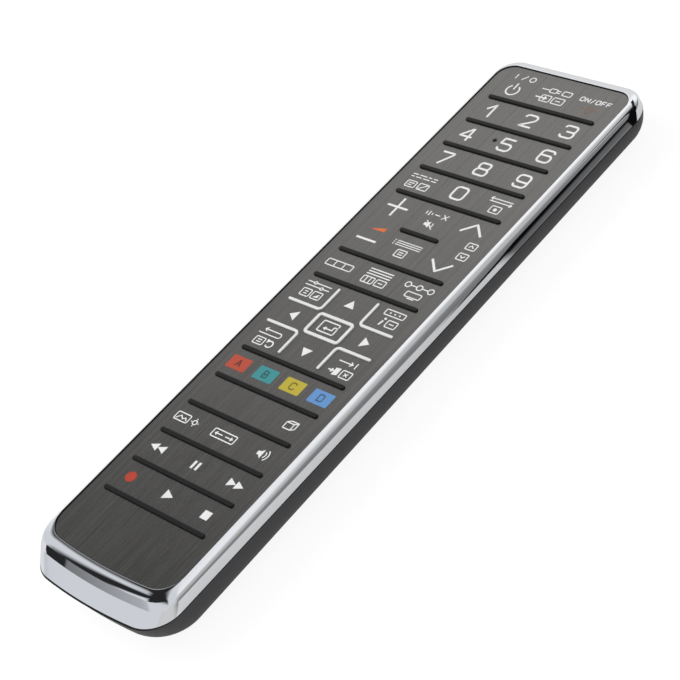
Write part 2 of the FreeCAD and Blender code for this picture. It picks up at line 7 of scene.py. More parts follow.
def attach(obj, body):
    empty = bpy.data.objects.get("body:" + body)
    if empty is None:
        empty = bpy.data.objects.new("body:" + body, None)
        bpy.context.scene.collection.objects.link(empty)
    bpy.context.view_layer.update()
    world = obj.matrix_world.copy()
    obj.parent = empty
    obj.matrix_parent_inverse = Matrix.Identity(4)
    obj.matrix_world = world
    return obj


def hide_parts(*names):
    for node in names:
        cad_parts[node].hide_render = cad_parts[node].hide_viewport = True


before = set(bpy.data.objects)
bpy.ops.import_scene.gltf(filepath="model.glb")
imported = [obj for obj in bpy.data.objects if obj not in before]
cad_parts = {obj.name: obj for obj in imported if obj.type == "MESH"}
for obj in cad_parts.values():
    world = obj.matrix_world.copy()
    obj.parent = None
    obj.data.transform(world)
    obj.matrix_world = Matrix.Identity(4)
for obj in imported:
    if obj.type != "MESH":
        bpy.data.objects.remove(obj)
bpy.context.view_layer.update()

# Camera: from the right of the near end, turned so that the remote runs up to the left.
aim = Vector((0.0056734, -0.0108253, 0.01675))
camera_azimuth = math.radians(-32.0907)
camera_elevation = math.radians(40.7378)
camera_roll = math.radians(-24.4592)
camera_distance = 0.514612
towards = Vector((math.cos(camera_elevation) * math.cos(camera_azimuth),
                  math.cos(camera_elevation) * math.sin(camera_azimuth),
                  math.sin(camera_elevation)))
lens = bpy.data.cameras.new("camera")
lens.sensor_width = 36.0
lens.lens = 104.348
lens.clip_start = 0.01
camera = bpy.data.objects.new("camera", lens)
bpy.context.collection.objects.link(camera)
upright = towards.to_track_quat("Z", "Y").to_matrix().to_4x4()
camera.matrix_world = (Matrix.Translation(aim + towards * camera_distance) @ upright
                       @ Matrix.Rotation(camera_roll, 4, "Z"))
bpy.context.scene.camera = camera
bpy.context.scene.view_settings.view_transform = "Standard"


# Studio: white all round, with the dark gaps between its lamps that the bright bezel shows.
# The world lights the object evenly, and one wide lamp on the left gives the soft shadow.
class Shade:
    """An output in a node tree; sums and products of shades add their Math nodes."""

    def __init__(self, tree, output):
        self.tree = tree
        self.output = output

    def node(self, kind, settings, inputs, output=0):
        """Any other node: its settings first, then the values or links of its sockets."""
        made = self.tree.nodes.new(kind)
        for name, value in settings.items():
            setattr(made, name, value)
        for name, value in inputs.items():
            if isinstance(value, Shade):
                self.tree.links.new(value.output, made.inputs[name])
            else:
                made.inputs[name].default_value = value
        return Shade(self.tree, made.outputs[output] if made.outputs else None)

    def twin(self, name):
        """Another output of the same node."""
        return Shade(self.tree, self.output.node.outputs[name])

    def maths(self, operation, first, second):
        return self.node("ShaderNodeMath", {"operation": operation}, {0: first, 1: second})

    def __add__(self, other):
        return self.maths("ADD", self, other)

    def __sub__(self, other):
        return self.maths("SUBTRACT", self, other)

    def __rsub__(self, other):
        return self.maths("SUBTRACT", other, self)

    def __mul__(self, other):
        return self.maths("MULTIPLY", self, other)

    def __truediv__(self, other):
        return self.maths("DIVIDE", self, other)

    __radd__ = __add__
    __rmul__ = __mul__

    def at_least(self, least):
        return self.maths("MAXIMUM", self, least)

    def at_most(self, most):
        return self.maths("MINIMUM", self, most)

    def rise(self, low, high):
        """0 below low, 1 above high and smooth between."""
        return self.node("ShaderNodeMapRange", {"interpolation_type": "SMOOTHSTEP"},
                         {"Value": self, "From Min": low, "From Max": high})

    def mix(self, first, second):
        """Colour between two colours, with self as the factor."""
        return self.node("ShaderNodeMix", {"data_type": "RGBA"},
                         {"Factor": self, 6: first, 7: second}, 2)


world = bpy.data.worlds.new("studio")
bpy.context.scene.world = world
world.use_nodes = True
world.node_tree.nodes.clear()
start = Shade(world.node_tree, None)
direction = start.node("ShaderNodeTexCoord", {}, {}, "Generated")
# The sky is drawn on a flat map: overhead is its middle and the horizon lies 1 away from it.
sideways = direction.node("ShaderNodeSeparateXYZ", {}, {"Vector": direction})
height = sideways.twin("Z")
lift = height.at_least(0.0) + 1.0
across = sideways / lift
along = sideways.twin("Y") / lift


def side_of(point, heading, softness):
    """1 on the right-hand side of a line across the sky, seen from above, and 0 on its left."""
    turn = math.radians(heading)
    offset = point[0] * math.sin(turn) - point[1] * math.cos(turn)
    distance = across * math.sin(turn) - along * math.cos(turn) - offset
    return distance.rise(-softness, softness)


# The dark gaps and dim fields, each between lines across that map or low over the horizon.
wedge = (side_of((-0.37, 0.16), -31.0, 0.04) * (1.0 - side_of((-0.37, 0.16), -80.0, 0.04))
         * (1.0 - side_of((0.0, -0.4), 0.0, 0.08)))
strip = (side_of((-0.366, -0.190), 237.0, 0.015) * (1.0 - side_of((-0.454, -0.140), 237.0, 0.03))
         * side_of((-0.36, -0.035), -33.0, 0.03) * (1.0 - side_of((-0.54, -0.36), -33.0, 0.05)))
corner_gap = (side_of((0.0, 0.57), 12.0, 0.03) * (1.0 - side_of((0.0, 0.43), 9.0, 0.03))
              * (1.0 - side_of((-0.02, 0.5), -90.0, 0.04)))
near_sky = 1.0 - side_of((0.0, 0.0), 212.5, 0.03)
far_wall = (1.0 - height.rise(0.02, 0.30)) * side_of((0.0, 0.0), 248.0, 0.08) * near_sky
doorway = (1.0 - height.rise(0.06, 0.12)) * side_of((0.0, 0.0), 220.3, 0.02) * near_sky
dim_patch = ((across.rise(-0.56, -0.44) - across.rise(-0.34, -0.16))
             * (along.rise(0.03, 0.11) - along.rise(0.11, 0.38)))
dim_side = across.rise(0.05, 0.55) * along.rise(0.16, 0.36)
dim_back = along.rise(0.36, 0.48) * (1.0 - across.rise(-0.3, -0.1))
gaps = (wedge + strip + corner_gap + doorway + far_wall * 0.75 + dim_patch * 0.92
        + dim_side * 0.5 + dim_back * 0.25)
lamps = along.rise(0.0, 0.3).mix((0.64, 0.66, 0.69, 1.0), (0.98, 0.98, 0.99, 1.0))
mirror_light = gaps.mix(lamps, (0.02, 0.02, 0.022, 1.0))
# The camera sees plain white, mirrors see the lamps with their gaps, and all else soft light.
rays = start.node("ShaderNodeLightPath", {}, {}, "Is Camera Ray")
seen = rays.at_least(rays.twin("Is Transmission Ray"))
soft_light = rays.twin("Is Glossy Ray").mix((0.72, 0.72, 0.73, 1.0), mirror_light)
sky = seen.mix(soft_light, (1.0, 1.0, 1.0, 1.0))
background = start.node("ShaderNodeBackground", {}, {"Color": sky, "Strength": 1.0})
start.node("ShaderNodeOutputWorld", {}, {"Surface": background})

lamp = bpy.data.lights.new("wide_lamp", "AREA")
lamp.shape = "RECTANGLE"
lamp.size = 0.9
lamp.size_y = 0.7
lamp.energy = 7.0
wide_lamp = bpy.data.objects.new("wide_lamp", lamp)
bpy.context.collection.objects.link(wide_lamp)
lamp_place = Vector((-0.75, -0.35, 0.95))
wide_lamp.matrix_world = (Matrix.Translation(lamp_place)
                          @ lamp_place.to_track_quat("Z", "Y").to_matrix().to_4x4())
wide_lamp.visible_glossy = False


# Floor: a white sheet of paper, whose shadow stays. It glows a little, so that it comes out
# as white as the studio round it.
def add_object(name, shape):
    """Turn a drawn shape into an object of the scene."""
    mesh = bpy.data.meshes.new(name)
    shape.to_mesh(mesh)
    shape.free()
    made = bpy.data.objects.new(name, mesh)
    bpy.context.collection.objects.link(made)
    return made


floor_shape = bmesh.new()
bmesh.ops.create_grid(floor_shape, x_segments=1, y_segments=1, size=2.5)
floor = add_object("floor", floor_shape)
paper = bpy.data.materials.new("paper")
paper.use_nodes = True
paper.node_tree.nodes.clear()
start = Shade(paper.node_tree, None)
rays = start.node("ShaderNodeLightPath", {}, {}, "Is Camera Ray")
seen = rays.at_least(rays.twin("Is Transmission Ray"))
lit = start.node("ShaderNodeBsdfDiffuse", {}, {"Color": (0.9, 0.9, 0.9, 1.0)})
glow = start.node("ShaderNodeEmission", {}, {"Color": (1.0, 1.0, 1.0, 1.0),
                                             "Strength": seen * 0.6 + 0.46})
sheet = start.node("ShaderNodeMixShader", {}, {0: seen * 0.4 + 0.45, 1: lit, 2: glow})
start.node("ShaderNodeOutputMaterial", {}, {"Surface": sheet})
floor.data.materials.append(paper)


# Painted shadow: a thin dark card laid along the remote's right side, which only mirror
# reflections show. It stands for the floor's shadow beside the remote: it darkens the bead
# downward and draws the black line under the far half's crease.
class Finish:
    """A material with its shader, and the object's own coordinates to draw patterns on."""

    def __init__(self, name):
        self.material = bpy.data.materials.new(name)
        self.material.use_nodes = True
        self.tree = self.material.node_tree
        self.shader = self.tree.nodes["Principled BSDF"]
        self.place = Shade(self.tree, None).node("ShaderNodeTexCoord", {}, {}, "Object")

    def set(self, **values):
        """Values or links of the shader's sockets, named with _ for a space."""
        for name, value in values.items():
            socket = self.shader.inputs[name.replace("_", " ")]
            if isinstance(value, Shade):
                self.tree.links.new(value.output, socket)
            else:
                socket.default_value = value

    def noise(self, size, stretch=(1.0, 1.0, 1.0), detail=2.0, roughness=0.5):
        """Noise whose blotches measure about size, in metres, times stretch."""
        scale = tuple(1.0 / (size * factor) for factor in stretch)
        moved = self.place.node("ShaderNodeMapping", {}, {"Vector": self.place, "Scale": scale})
        return moved.node("ShaderNodeTexNoise", {}, {"Vector": moved, "Scale": 1.0,
                                                     "Detail": detail, "Roughness": roughness})

    def bump(self, height, distance):
        """Normal of a surface raised by height times distance, in metres."""
        return height.node("ShaderNodeBump", {}, {"Height": height, "Distance": distance,
                                                  "Strength": 1.0})


flag_half = 1.2
flag_start = 0.0325
flag_height = 0.0003
flag_shape = bmesh.new()
bmesh.ops.create_grid(flag_shape, x_segments=1, y_segments=1, size=flag_half,
                      matrix=Matrix.Translation((flag_start + flag_half, 0.0, flag_height)))
shadow_card = add_object("shadow_card", flag_shape)
shadow_card.visible_camera = False
shadow_card.visible_diffuse = False
shadow_card.visible_transmission = False
shadow_card.visible_shadow = False
# Its material is painted shade: black, with the shape of the floor's shadow as its alpha.
painted_shadow = Finish("painted_shadow")
outward = painted_shadow.place.node("ShaderNodeSeparateXYZ", {}, {"Vector": painted_shadow.place})
length = outward.twin("Y")
# Inward is the way from a slanted line beside the remote towards the remote. Outside that
# line the painted shadow is soft and gets thinner farther out. It ends a little way inside the
# line.
veil_line = 0.04009
veil_slant = 0.0109
edge_blur = 0.0002
corner_blur = 0.001
inward = veil_line - length * veil_slant - outward
reach = length.rise(-0.08, 0.08) * 0.10 + 0.04
farther = (0.0 - inward / reach).rise(0.0, 1.0)
soft = (0.57 - farther * 0.4) * length.rise(-0.105, -0.085) + 0.13
light_from = (length * 0.02).at_most(0.00045) + 0.00155
beyond = (inward - light_from).rise(-edge_blur, edge_blur)
# The black line of painted shadow starts in the middle and gets broader towards the far end.
lower = (1.0 - length.rise(0.040, 0.052)) * 0.0003
under_line = (inward - lower).rise(0.00205, 0.00225)
line = ((inward - lower + length * 0.0135).rise(0.00200, 0.00218)
        * length.rise(0.010, 0.028) * (1.0 - under_line))
# Under the line the far part is painted dark as well, and paler in two steps.
paler = inward.rise(0.0023, 0.0033) * 0.20 + inward.rise(0.0039, 0.0042) * 0.08
grey = under_line * (length - inward).rise(0.037, 0.045) * (1.0 - paler)
# At the far corner a wedge of painted shadow lies between two slanted lines. All that is dark ends
# there.
from_corner = outward - 0.025
past_corner = (length - 0.098 - from_corner * 1.12).rise(-corner_blur, corner_blur)
at_corner = (length - 0.097 - from_corner * 0.74).rise(-corner_blur, corner_blur)
painted_shadow_alpha = soft * (1.0 - beyond) + (line + grey + at_corner) * (1.0 - past_corner)
# Painted shadow: near-black, seen only in reflections, where the mask lets it show.
painted_shadow.set(Base_Color=(0.004, 0.004, 0.004, 1.0), Specular_IOR_Level=0.0, Alpha=painted_shadow_alpha)
shadow_card.data.materials.append(painted_shadow.material)


# Face and keys: one thin metal sheet, brushed along its length, cut here into the
# patches that the keys press down. Its warm grey shows the lamps as a soft sheen.
def dress(finish, *nodes):
    """Give CAD nodes one material."""
    for name in nodes:
        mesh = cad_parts[name].data
        mesh.materials.clear()
        mesh.materials.append(finish.material)


brushed = Finish("brushed_sheet")
fine = brushed.noise(0.00012, (1.0, 90.0, 1.0), detail=3.0, roughness=0.6)
broad = brushed.noise(0.0011, (1.0, 70.0, 1.0))
streak = fine * 0.6 + broad * 0.4
brushed.set(Base_Color=streak.rise(0.30, 0.70).mix((0.190, 0.187, 0.177, 1.0),
                                                   (0.235, 0.23, 0.22, 1.0)),
            Metallic=1.0,
            Roughness=streak.rise(0.25, 0.75) * 0.06 + 0.24,
            Normal=brushed.bump(fine, 0.000004))
keys = [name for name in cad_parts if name.startswith("key_")]
dress(brushed, "face_plate", "volume_rocker", "channel_rocker", *keys)

# Rib mat: black silicone rubber, moulded in one piece; its ribs stand up through the
# slots of the sheet and feel matt, with a faint dust-like grain.
rubber = Finish("rib_rubber")
grain = rubber.noise(0.00025, detail=3.0)
rubber.set(Base_Color=grain.mix((0.0036, 0.0035, 0.0031, 1.0), (0.0068, 0.0066, 0.0060, 1.0)),
           Roughness=grain * 0.12 + 0.40, Specular_IOR_Level=0.3,
           Normal=rubber.bump(grain, 0.00001))
dress(rubber, "rib_mat")

# Light guide: milky clear plastic behind the mat, whose lines round the arrow keys
# come up to the face and glow when a key is touched.
milk = Finish("light_guide")
cloud = milk.noise(0.0015, detail=1.0)
milk.set(Base_Color=cloud.mix((0.74, 0.75, 0.75, 1.0), (0.82, 0.82, 0.81, 1.0)),
         Roughness=cloud * 0.05 + 0.28)
dress(milk, "light_guide")

# Case and battery door: dark grey ABS, moulded with a fine spark-eroded texture.
moulded = Finish("case_plastic")
texture = moulded.noise(0.0003)
cast = moulded.noise(0.02, detail=1.0)
moulded.set(Base_Color=cast.mix((0.041, 0.041, 0.043, 1.0), (0.049, 0.049, 0.051, 1.0)),
            Roughness=texture * 0.14 + 0.38,
            Normal=moulded.bump(texture, 0.000012))
dress(moulded, "rear_shell", "battery_door")

# Infrared window: a dark red pane that looks black, polished, let into the far wall.
pane = Finish("window")
tint = pane.noise(0.004, detail=1.0)
pane.set(Base_Color=tint.mix((0.020, 0.003, 0.005, 1.0), (0.032, 0.005, 0.008, 1.0)),
         Roughness=0.08)
dress(pane, "infrared_window")

# Front frame: black glass-filled plastic behind the mat, satin from the mould.
frame_black = Finish("frame_plastic")
fibres = frame_black.noise(0.0004, (1.0, 6.0, 1.0))
frame_black.set(Base_Color=fibres.mix((0.020, 0.020, 0.021, 1.0), (0.035, 0.035, 0.036, 1.0)),
                Roughness=fibres * 0.2 + 0.4)
dress(frame_black, "front_frame")

# Dome sheet: yellowish film that holds the steel click domes on the board.
film = Finish("dome_film")
ripple = film.noise(0.003, detail=1.0)
film.set(Base_Color=ripple.mix((0.62, 0.58, 0.44, 1.0), (0.70, 0.67, 0.54, 1.0)),
         Roughness=ripple * 0.1 + 0.2)
dress(film, "dome_sheet")

# Circuit board: glass and epoxy under green lacquer, with a faint weave.
board = Finish("board")
weave = board.noise(0.0006, (1.0, 3.0, 1.0), detail=1.0)
board.set(Base_Color=weave.mix((0.018, 0.12, 0.045, 1.0), (0.028, 0.17, 0.065, 1.0)),
          Roughness=weave * 0.1 + 0.25)
dress(board, "circuit_board")

# Control chip: black epoxy package, matt, soldered under the board.
package = Finish("chip")
speckle = package.noise(0.0002)
package.set(Base_Color=speckle.mix((0.014, 0.014, 0.014, 1.0), (0.026, 0.026, 0.026, 1.0)),
            Roughness=speckle * 0.15 + 0.5)
dress(package, "controller_chip")

# Infrared lamps: resin with a blue-grey cast, polished from the mould and drawn opaque.
resin = Finish("lamp")
swirl = resin.noise(0.002, detail=1.0)
resin.set(Base_Color=swirl.mix((0.16, 0.17, 0.24, 1.0), (0.22, 0.23, 0.30, 1.0)),
          Roughness=0.10)
dress(resin, "infrared_leds")

# Cells: two AAA cells in a plain dark wrap with a metallic gleam, over their ends as well.
wrap = Finish("cell_wrap")
scuff = wrap.noise(0.0015, (1.0, 4.0, 1.0))
wrap.set(Base_Color=scuff.mix((0.055, 0.057, 0.065, 1.0), (0.085, 0.087, 0.095, 1.0)),
         Metallic=0.6, Roughness=scuff * 0.1 + 0.28)
dress(wrap, "batteries")

# Contacts and springs: spring steel with bright nickel, rubbed dull in patches.
nickel = Finish("contact")
rub = nickel.noise(0.0012)
nickel.set(Base_Color=rub.mix((0.50, 0.50, 0.48, 1.0), (0.68, 0.68, 0.66, 1.0)),
           Metallic=1.0, Roughness=rub * 0.15 + 0.2)
dress(nickel, "battery_contacts")

# Case screws: self-tapping, zinc plated, with a faint bluish cast.
zinc = Finish("screw")
plate_grain = zinc.noise(0.0008)
zinc.set(Base_Color=plate_grain.mix((0.40, 0.41, 0.43, 1.0), (0.55, 0.56, 0.58, 1.0)),
         Metallic=1.0, Roughness=plate_grain * 0.15 + 0.28)
dress(zinc, "case_screws")

# Bezel: one moulding in bright-plated ABS that frames the sheet. A rounded bead falls from
# the face to a crease, and a plain band goes on down to the parting line. The narrow lip
# round the face and the lowest strip of the band are painted dark: painted shade for the
# gap at the face and along the parting line.
case_height = 0.01675
face_slope = math.radians(0.6)
bezel_depth = 0.0059
end_bow = 0.17
face_half_width = 0.0234
face_far = 0.095735
face_near = 0.100755
face_far_corner = 0.005
face_near_corner = 0.007
bead_side = 0.0017
bead_far = 0.00365
bead_near = 0.0048
bead_far_corner = 0.00675
bead_near_corner = 0.006
bead_top = 0.0003
bead_drop = 0.00257
facet_start = math.radians(44.0)
band_half_width = 0.0252
band_flare_far = 0.00305
band_flare_near = 0.0042
band_far = face_far + bead_far + band_flare_far
band_near = face_near + bead_near + band_flare_near
band_far_corner = 0.0112
band_near_corner = 0.010
foot = 0.00035
foot_far_corner_loss = 0.0045
foot_near_corner_loss = 0.004
lip_round = 0.00016
ledge_top = -0.0005
ledge_under = -0.00225
ledge_width = 0.0012
wall = 0.0013
bead_steps = 9
bow_steps = 10
near_corner_steps = 16
far_corner_steps = 12
sharp_from = math.radians(20.0)
shift_y = (band_near - band_far) / 2.0 + bezel_depth * math.sin(face_slope)
face_place = (Matrix.Translation((0.0, shift_y, case_height))
              @ Matrix.Rotation(-face_slope, 4, "X"))


def rim(mesh, half_width, far, near, far_radius, near_radius, z, bow):
    """Loop of edges with straight sides, round corners and a near end that bows outward."""
    corner_x = half_width - near_radius
    lean = math.asin(corner_x / (bow - near_radius))
    corner_y = bow - near - (bow - near_radius) * math.cos(lean)
    half = [mesh.verts.new((0.0, -near, z))]

    def turn(centre, angle, steps):
        spun = bmesh.ops.spin(mesh, geom=[half[-1]], cent=centre, axis=(0, 0, 1), angle=angle,
                              steps=steps)
        half.append(next(item for item in spun["geom_last"]
                         if isinstance(item, bmesh.types.BMVert)))

    def straight(move):
        pulled = bmesh.ops.extrude_vert_indiv(mesh, verts=[half[-1]])
        bmesh.ops.translate(mesh, verts=pulled["verts"], vec=move)
        half.append(pulled["verts"][0])

    first = set(mesh.edges)
    turn((0.0, bow - near, z), lean, bow_steps)
    turn((corner_x, corner_y, z), math.pi / 2.0 - lean, near_corner_steps)
    straight((0.0, far - far_radius - corner_y, 0.0))
    turn((half_width - far_radius, far - far_radius, z), math.pi / 2.0, far_corner_steps)
    straight((far_radius - half_width, 0.0, 0.0))
    edges = [edge for edge in mesh.edges if edge not in first]
    verts = list({vert for edge in edges for vert in edge.verts})
    bmesh.ops.mirror(mesh, geom=verts + edges, matrix=Matrix.Identity(4), axis="X")
    edges = [edge for edge in mesh.edges if edge not in first]
    verts = list({vert for edge in edges for vert in edge.verts})
    bmesh.ops.remove_doubles(mesh, verts=verts, dist=1e-6)
    return [edge for edge in mesh.edges if edge not in first]


def bead_rim(mesh, swing):
    """Loop of the bead where its profile has swung by an angle from the top.

    The near end turns into a flat facet that runs down to the crease.
    """
    out = math.sin(swing)
    near_out = out
    if swing > facet_start:
        fallen = 1.0 - math.cos(swing) / math.cos(facet_start)
        near_out = math.sin(facet_start) + (1.0 - math.sin(facet_start)) * fallen
    return rim(mesh, face_half_width + bead_side * out, face_far + bead_far * out,
               face_near + bead_near * near_out,
               face_far_corner + (bead_far_corner - face_far_corner) * out,
               face_near_corner + (bead_near_corner - face_near_corner) * out,
               bead_top - bead_drop * (1.0 - math.cos(swing)), end_bow)


def drawn_in(mesh, inset, z):
    """Loop of the face's outline, drawn in by inset."""
    return rim(mesh, face_half_width - inset, face_far - inset, face_near - inset,
               face_far_corner - inset, face_near_corner - inset, z, end_bow - inset)


def inner_room(mesh, z):
    """Loop of the bezel's inner wall below its ledge."""
    return rim(mesh, face_half_width + bead_side - wall, face_far + bead_far - wall,
               face_near + bead_near - wall, bead_far_corner - wall, bead_near_corner - wall, z,
               end_bow)


shape = bmesh.new()
loops = [drawn_in(shape, 0.0, ledge_top)]
for angle in (0.0, 30.0, 60.0, 90.0):
    swing = math.radians(angle)
    loops.append(drawn_in(shape, -lip_round * (1.0 - math.cos(swing)),
                          bead_top - lip_round * (1.0 - math.sin(swing))))
# The lip's strips take the dark material: painted shade in the gap round the face.
dark_strips = list(range(len(loops) - 1))
bead_start = math.asin(lip_round / bead_side)
for start, end in ((bead_start, facet_start), (facet_start, math.pi / 2.0)):
    for step in range(bead_steps):
        loops.append(bead_rim(shape, start + (end - start) * step / bead_steps))
crease = bead_rim(shape, math.pi / 2.0)
loops.append(crease)
# So does the foot of the band: painted shade along the parting line.
dark_strips.append(len(loops))
up = foot / (bezel_depth + bead_top - bead_drop)
loops.append(rim(shape, band_half_width - up * (band_half_width - face_half_width - bead_side),
                 band_far - up * band_flare_far, band_near - up * band_flare_near,
                 band_far_corner - up * foot_far_corner_loss,
                 band_near_corner - up * foot_near_corner_loss, foot - bezel_depth, end_bow))
loops.append(rim(shape, band_half_width, band_far, band_near, band_far_corner,
                 band_near_corner, -bezel_depth, end_bow))
loops.append(inner_room(shape, -bezel_depth))
loops.append(inner_room(shape, ledge_under))
loops.append(drawn_in(shape, ledge_width, ledge_under))
loops.append(drawn_in(shape, ledge_width, ledge_top))
for number, (upper, lower) in enumerate(zip(loops, loops[1:] + loops[:1])):
    bridge = bmesh.ops.bridge_loops(shape, edges=upper + lower)
    for face in bridge["faces"]:
        face.material_index = int(number in dark_strips)
bmesh.ops.recalc_face_normals(shape, faces=shape.faces[:])
bmesh.ops.transform(shape, matrix=face_place, verts=shape.verts[:])
for face in shape.faces:
    face.smooth = True
for edge in shape.edges:
    if edge.is_manifold and edge.calc_face_angle() > sharp_from:
        edge.smooth = False
for edge in crease:
    edge.smooth = False
bezel = add_object("bright_bezel", shape)
plating = Finish("bright_plating")
smear = plating.noise(0.004, (1.0, 3.0, 1.0))
plating.set(Base_Color=(0.92, 0.93, 0.95, 1.0), Metallic=1.0,
            Roughness=smear * 0.015 + 0.015)
# Painted shade: a near-black matt finish for the lip and the foot, standing for shadow.
gap_shade = Finish("painted_gap_shade")
pores = gap_shade.noise(0.0003)
gap_shade.set(Base_Color=pores.mix((0.006, 0.006, 0.006, 1.0), (0.011, 0.011, 0.011, 1.0)),
         Roughness=pores * 0.1 + 0.55, Specular_IOR_Level=0.2)
bezel.data.materials.append(plating.material)
bezel.data.materials.append(gap_shade.material)
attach(bezel, "remote")
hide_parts("chrome_bezel")

# Print on the keys: thin white lacquer, screened onto the sheet before the keys are cut.
# Every bit of it rides with its key. It is drawn in millimetres on the face.
ink_height = 0.03
ink_sink = 0.01
ink_step = 0.002
ink_place = face_place @ Matrix.Scale(0.001, 4)


class Ink:
    """What is printed on one key; at() moves the point that a drawing is made about."""

    def __init__(self, key):
        self.key = key
        self.shape = bmesh.new()
        self.level = 0
        self.origin = (0.0, 0.0)

    def at(self, x, y):
        self.origin = (x, y)

    def lay(self, bit):
        """Add one bit, a hair higher than the last, so that no two tops share a plane."""
        self.level += 1
        bmesh.ops.translate(bit, verts=bit.verts[:],
                            vec=(*self.origin, self.level * ink_step - ink_sink))
        mesh = bpy.data.meshes.new("bit")
        bit.to_mesh(mesh)
        bit.free()
        self.shape.from_mesh(mesh)
        bpy.data.meshes.remove(mesh)

    def ribbon(self, path, width):
        """Turn a path into a flat ribbon."""
        pulled = bmesh.ops.extrude_edge_only(path, edges=path.edges[:])
        raised = [item for item in pulled["geom"] if isinstance(item, bmesh.types.BMVert)]
        bmesh.ops.translate(path, verts=raised, vec=(0.0, 0.0, ink_height))
        bmesh.ops.recalc_face_normals(path, faces=path.faces[:])
        holder = add_object("strip", path)
        strip = holder.data
        widen = holder.modifiers.new("widen", "SOLIDIFY")
        widen.thickness = width
        widen.offset = 0.0
        widen.use_even_offset = True
        bit = bmesh.new()
        bit.from_object(holder, bpy.context.evaluated_depsgraph_get())
        bpy.data.objects.remove(holder)
        bpy.data.meshes.remove(strip)
        self.lay(bit)

    def line(self, width, points, closed=False):
        """Line through points; a point's third number rounds its corner."""
        path = bmesh.new()
        corners = [path.verts.new((point[0], point[1], 0.0)) for point in points]
        for first, second in zip(corners, corners[1:]):
            path.edges.new((first, second))
        if closed:
            path.edges.new((corners[-1], corners[0]))
        for corner, point in zip(corners, points):
            if len(point) > 2:
                bmesh.ops.bevel(path, geom=[corner], offset=point[2], offset_type="OFFSET",
                                segments=6, profile=0.5, affect="VERTICES", material=-1)
        self.ribbon(path, width)

    def box(self, width, x0, y0, x1, y1, corner=0.4):
        """Closed line round a box with round corners."""
        self.line(width, [(x0, y0, corner), (x1, y0, corner), (x1, y1, corner),
                          (x0, y1, corner)], closed=True)

    def arc(self, width, x, y, radius, start, end):
        """Part of a circle, from one angle to another in degrees."""
        path = bmesh.new()
        turn = math.radians(start)
        first = path.verts.new((x + radius * math.cos(turn), y + radius * math.sin(turn), 0.0))
        bmesh.ops.spin(path, geom=[first], cent=(x, y, 0.0), axis=(0, 0, 1),
                       angle=math.radians(end - start), steps=24)
        if end - start >= 360.0:
            bmesh.ops.remove_doubles(path, verts=path.verts[:], dist=1e-4)
        self.ribbon(path, width)

    def fill(self, points, corner=0.0):
        """Solid patch of ink."""
        patch = bmesh.new()
        corners = [patch.verts.new((*point, 0.0)) for point in points]
        patch.faces.new(corners)
        patch.normal_update()
        if corner:
            bmesh.ops.bevel(patch, geom=corners, offset=corner, offset_type="OFFSET",
                            segments=5, profile=0.5, affect="VERTICES", material=-1)
        bmesh.ops.solidify(patch, geom=patch.faces[:], thickness=ink_height)
        low = min(vert.co.z for vert in patch.verts)
        bmesh.ops.translate(patch, verts=patch.verts[:], vec=(0.0, 0.0, -low))
        bmesh.ops.recalc_face_normals(patch, faces=patch.faces[:])
        self.lay(patch)

    def disc(self, x, y, radius):
        """Round dot of ink."""
        dot = bmesh.new()
        bmesh.ops.create_cone(dot, cap_ends=True, segments=24, radius1=radius, radius2=radius,
                              depth=ink_height,
                              matrix=Matrix.Translation((x, y, ink_height / 2.0)))
        self.lay(dot)

    def arrow(self, width, x0, y0, x1, y1, head=0.8):
        """Line with an open arrow head at its far end."""
        self.line(width, [(x0, y0), (x1, y1)])
        turn = math.atan2(y1 - y0, x1 - x0)
        tips = [(x1 - head * math.cos(turn + lean), y1 - head * math.sin(turn + lean))
                for lean in (0.7, -0.7)]
        self.line(width, [tips[0], (x1, y1), tips[1]])

    def put(self, finish, name):
        """Make the drawing an object on its key."""
        bmesh.ops.transform(self.shape, matrix=ink_place, verts=self.shape.verts[:])
        piece = add_object(name, self.shape)
        piece.data.materials.append(finish.material)
        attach(piece, self.key + "_body")


def lacquer(name, low, high):
    """Screened ink: nearly flat colour, thin and slightly uneven."""
    ink = Finish(name)
    patchy = ink.noise(0.0004)
    ink.set(Base_Color=patchy.mix((*low, 1.0), (*high, 1.0)), Roughness=patchy * 0.1 + 0.35)
    return ink


white_ink = lacquer("white_ink", (0.80, 0.80, 0.79), (0.88, 0.88, 0.87))
orange_ink = lacquer("orange_ink", (0.68, 0.13, 0.03), (0.76, 0.16, 0.04))
amber_ink = lacquer("amber_ink", (0.22, 0.10, 0.05), (0.26, 0.12, 0.06))

